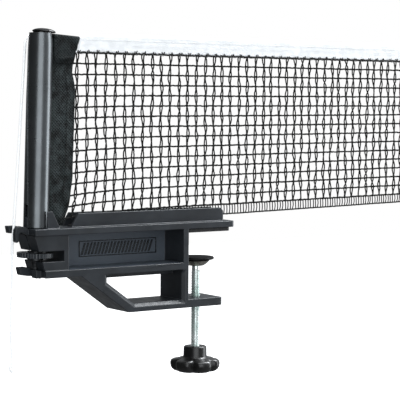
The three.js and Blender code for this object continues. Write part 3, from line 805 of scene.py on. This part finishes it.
def make_panel_ribs(finish):
    """Plain slanted grip ribs in a border, raised on the rear panel."""
    batch = Batch()
    front, back = 9.4, 10.1
    left, right, low, high = -101.8, -31.3, -16.6, -4.4
    border, inset = 0.7, 1.5

    def bar(corners):
        points = [(x, y, z) for y in (front, back) for x, z in corners]
        faces = [(0, 1, 2, 3), (7, 6, 5, 4), (0, 4, 5, 1), (1, 5, 6, 2), (2, 6, 7, 3), (3, 7, 4, 0)]
        batch.add(points, faces, [(0.0, 0.0)] * 24)

    def rectangle(x0, x1, z0, z1):
        bar([(x0, z0), (x1, z0), (x1, z1), (x0, z1)])

    for x in np.arange(left + 1.6, right - 5.4, 3.05):
        bar([(x, low + inset), (x + 1.5, low + inset), (x + 4.7, high - inset), (x + 3.2, high - inset)])
    rectangle(left, right, low, low + border)
    rectangle(left, right, high - border, high)
    rectangle(left, left + border, low + border, high - border)
    rectangle(right - border, right, low + border, high - border)
    ribs = batch.object("panel_ribs", finish, "base", "frame_plastic")
    edge = ribs.modifiers.new("edges", "BEVEL")
    edge.width, edge.segments = 0.12 * MM, 2


def dress(name, finish, edge=0.0):
    """Gives a CAD node that stays its finish.

    Its moulded edges are rounded by edge millimetres, or without an edge its turned faces are smoothed."""
    made = nodes[name]
    made.data.materials.clear()
    made.data.materials.append(finish)
    weld = made.modifiers.new("weld", "WELD")
    weld.merge_threshold = 0.00001
    if edge:
        made.data.shade_flat()
        planar = made.modifiers.new("planar", "DECIMATE")
        planar.decimate_type, planar.angle_limit = "DISSOLVE", math.radians(0.5)
        # Triangles, and no loop slide below, keep the rounding from folding the flat faces.
        made.modifiers.new("triangles", "TRIANGULATE")
        rounded = made.modifiers.new("edges", "BEVEL")
        rounded.width, rounded.segments = edge * MM, 3
        rounded.limit_method, rounded.angle_limit = "ANGLE", ROUNDED_ABOVE
        rounded.use_clamp_overlap = rounded.loop_slide = False
    else:
        made.data.shade_smooth()
        split = made.modifiers.new("corners", "EDGE_SPLIT")
        split.split_angle = ROUNDED_ABOVE


# ---------------------------------------------------------------- studio
def towards(turn, rise):
    """A direction from the object: turn degrees to the right of the way to the camera, rise degrees up."""
    a, e = math.radians(turn), math.radians(rise)
    back, right = Vector((-math.sin(YAW), -math.cos(YAW), 0)), Vector((math.cos(YAW), -math.sin(YAW), 0))
    return (back * math.cos(a) + right * math.sin(a)) * math.cos(e) + Vector((0, 0, math.sin(e)))


def add_softbox(name, turn, rise, distance, wide, tall, brightness):
    """An area light, wide by tall metres, that faces the clamp."""
    aim = Vector((-0.02, 0, 0.02))
    light = bpy.data.lights.new(name, "AREA")
    light.shape, light.size, light.size_y = "RECTANGLE", wide, tall
    light.energy = brightness * math.pi * wide * tall
    light.color = COOL
    made = bpy.data.objects.new(name, light)
    made.location = aim + towards(turn, rise) * distance
    made.rotation_euler = (aim - made.location).to_track_quat("-Z", "Y").to_euler()
    made.visible_camera = False
    scene.collection.objects.link(made)


def make_world():
    """White to the camera, and a room with brighter and darker parts to glossy surfaces."""
    scene.view_settings.view_transform = "Standard"
    world = bpy.data.worlds.new("studio")
    world.use_nodes = True
    scene.world = world
    tree = world.node_tree
    tree.nodes.clear()
    split = add_node(tree, "ShaderNodeSeparateXYZ", {"Vector": coordinates(tree, "Generated")})
    x, y, z = (split.outputs[axis] for axis in "XYZ")

    def along(by_x, by_y):
        return maths(tree, "ADD", maths(tree, "MULTIPLY", x, by_x), maths(tree, "MULTIPLY", y, by_y))

    across, behind = along(math.cos(YAW), -math.sin(YAW)), along(math.sin(YAW), math.cos(YAW))
    slope = maths(tree, "ADD", across, maths(tree, "MULTIPLY", z, 0.6))
    right_glow = spread(tree, slope, 0.03, 0.35, -0.5, 1.0)
    rear_glow = spread(tree, behind, 0.0, 0.17, 0.3, 0.9)
    upright_glow = spread(tree, maths(tree, "ABSOLUTE", z), 0.0, 0.18, 0.4, 1.0)
    glow = maths(tree, "ADD", maths(tree, "ADD", right_glow, rear_glow), upright_glow)
    path = add_node(tree, "ShaderNodeLightPath")
    soft = maths(tree, "MULTIPLY", path.outputs["Is Diffuse Ray"], 0.65)
    sharp = maths(tree, "MULTIPLY", path.outputs["Is Glossy Ray"], glow)
    strength = maths(tree, "ADD", soft, sharp)
    room = add_node(tree, "ShaderNodeBackground", {"Color": (*COOL, 1), "Strength": strength})
    white = add_node(tree, "ShaderNodeBackground", {"Color": (1, 1, 1, 1), "Strength": 1.0})
    inputs = {0: path.outputs["Is Camera Ray"], 1: room.outputs[0], 2: white.outputs[0]}
    mix = add_node(tree, "ShaderNodeMixShader", inputs)
    add_node(tree, "ShaderNodeOutputWorld", {"Surface": mix.outputs[0]})


def make_floor():
    """White paper well below the clamp, which the glossy parts don't mirror."""
    half, drop = 4.0, 0.35
    points = [(-half, -half, 0), (half, -half, 0), (half, half, 0), (-half, half, 0)]
    mesh = bpy.data.meshes.new("floor")
    mesh.from_pydata(points, [], [(0, 1, 2, 3)])
    floor = bpy.data.objects.new("floor", mesh)
    floor.location.z = cad_box[0][2] - drop
    scene.collection.objects.link(floor)
    finish, _, shader = blank_material("floor_paper", 0.9)
    shader.inputs["Base Color"].default_value = (0.9, 0.9, 0.9, 1)
    shader.inputs["Emission Color"].default_value = (1, 1, 1, 1)
    shader.inputs["Emission Strength"].default_value = 1.0
    mesh.materials.append(finish)
    floor.visible_diffuse = False
    floor.visible_glossy = False


def make_studio():
    make_world()
    add_softbox("front_box", 12, 12, 2.2, 1.8, 2.2, 2.0)
    add_softbox("right_box", 106, 6, 1.5, 0.8, 1.6, 3.5)
    add_softbox("edge_box", 125, 50, 1.6, 0.8, 0.8, 24.0)
    add_softbox("top_box", 20, 78, 1.6, 1.2, 1.2, 4.0)
    make_floor()


# ---------------------------------------------------------------- the whole
make_camera()
looks = make_materials()
make_cord(looks["cord"])
make_net(looks["string"])
make_side_hem(looks["cloth"], make_hem_seam(looks["string"]))
make_hem_flap(looks["flap"])
make_tape(looks["tape"], looks["stitch"])
make_far_sleeve(looks["cloth"])
make_screw(looks["zinc"])
make_stud(looks["stud"])
make_knob(looks["gloss"])
make_cap(looks["cap"])
make_panel_ribs(looks["ribs"])

dress("clamp_frame", looks["frame"], 0.5)
dress("jaw_pad", looks["pad"], 0.3)
dress("captive_nut", looks["zinc"], 0.3)
dress("retaining_ring", looks["dark_steel"])
dress("pressure_dish", looks["dark_steel"])
dress("pressure_disc", looks["disc"])
dress("knob_insert", looks["zinc"])
dress("height_wheel", looks["wheel"], 0.15)
dress("upper_thrust_washer", looks["stud"])
dress("lower_thrust_washer", looks["stud"])
dress("post_foot", looks["rod"])
dress("post_tube", looks["post"])
dress("hem_rod", looks["rod"])
dress("far_rod", looks["rod"])
dress("tape_cord", looks["cord"])

make_studio()
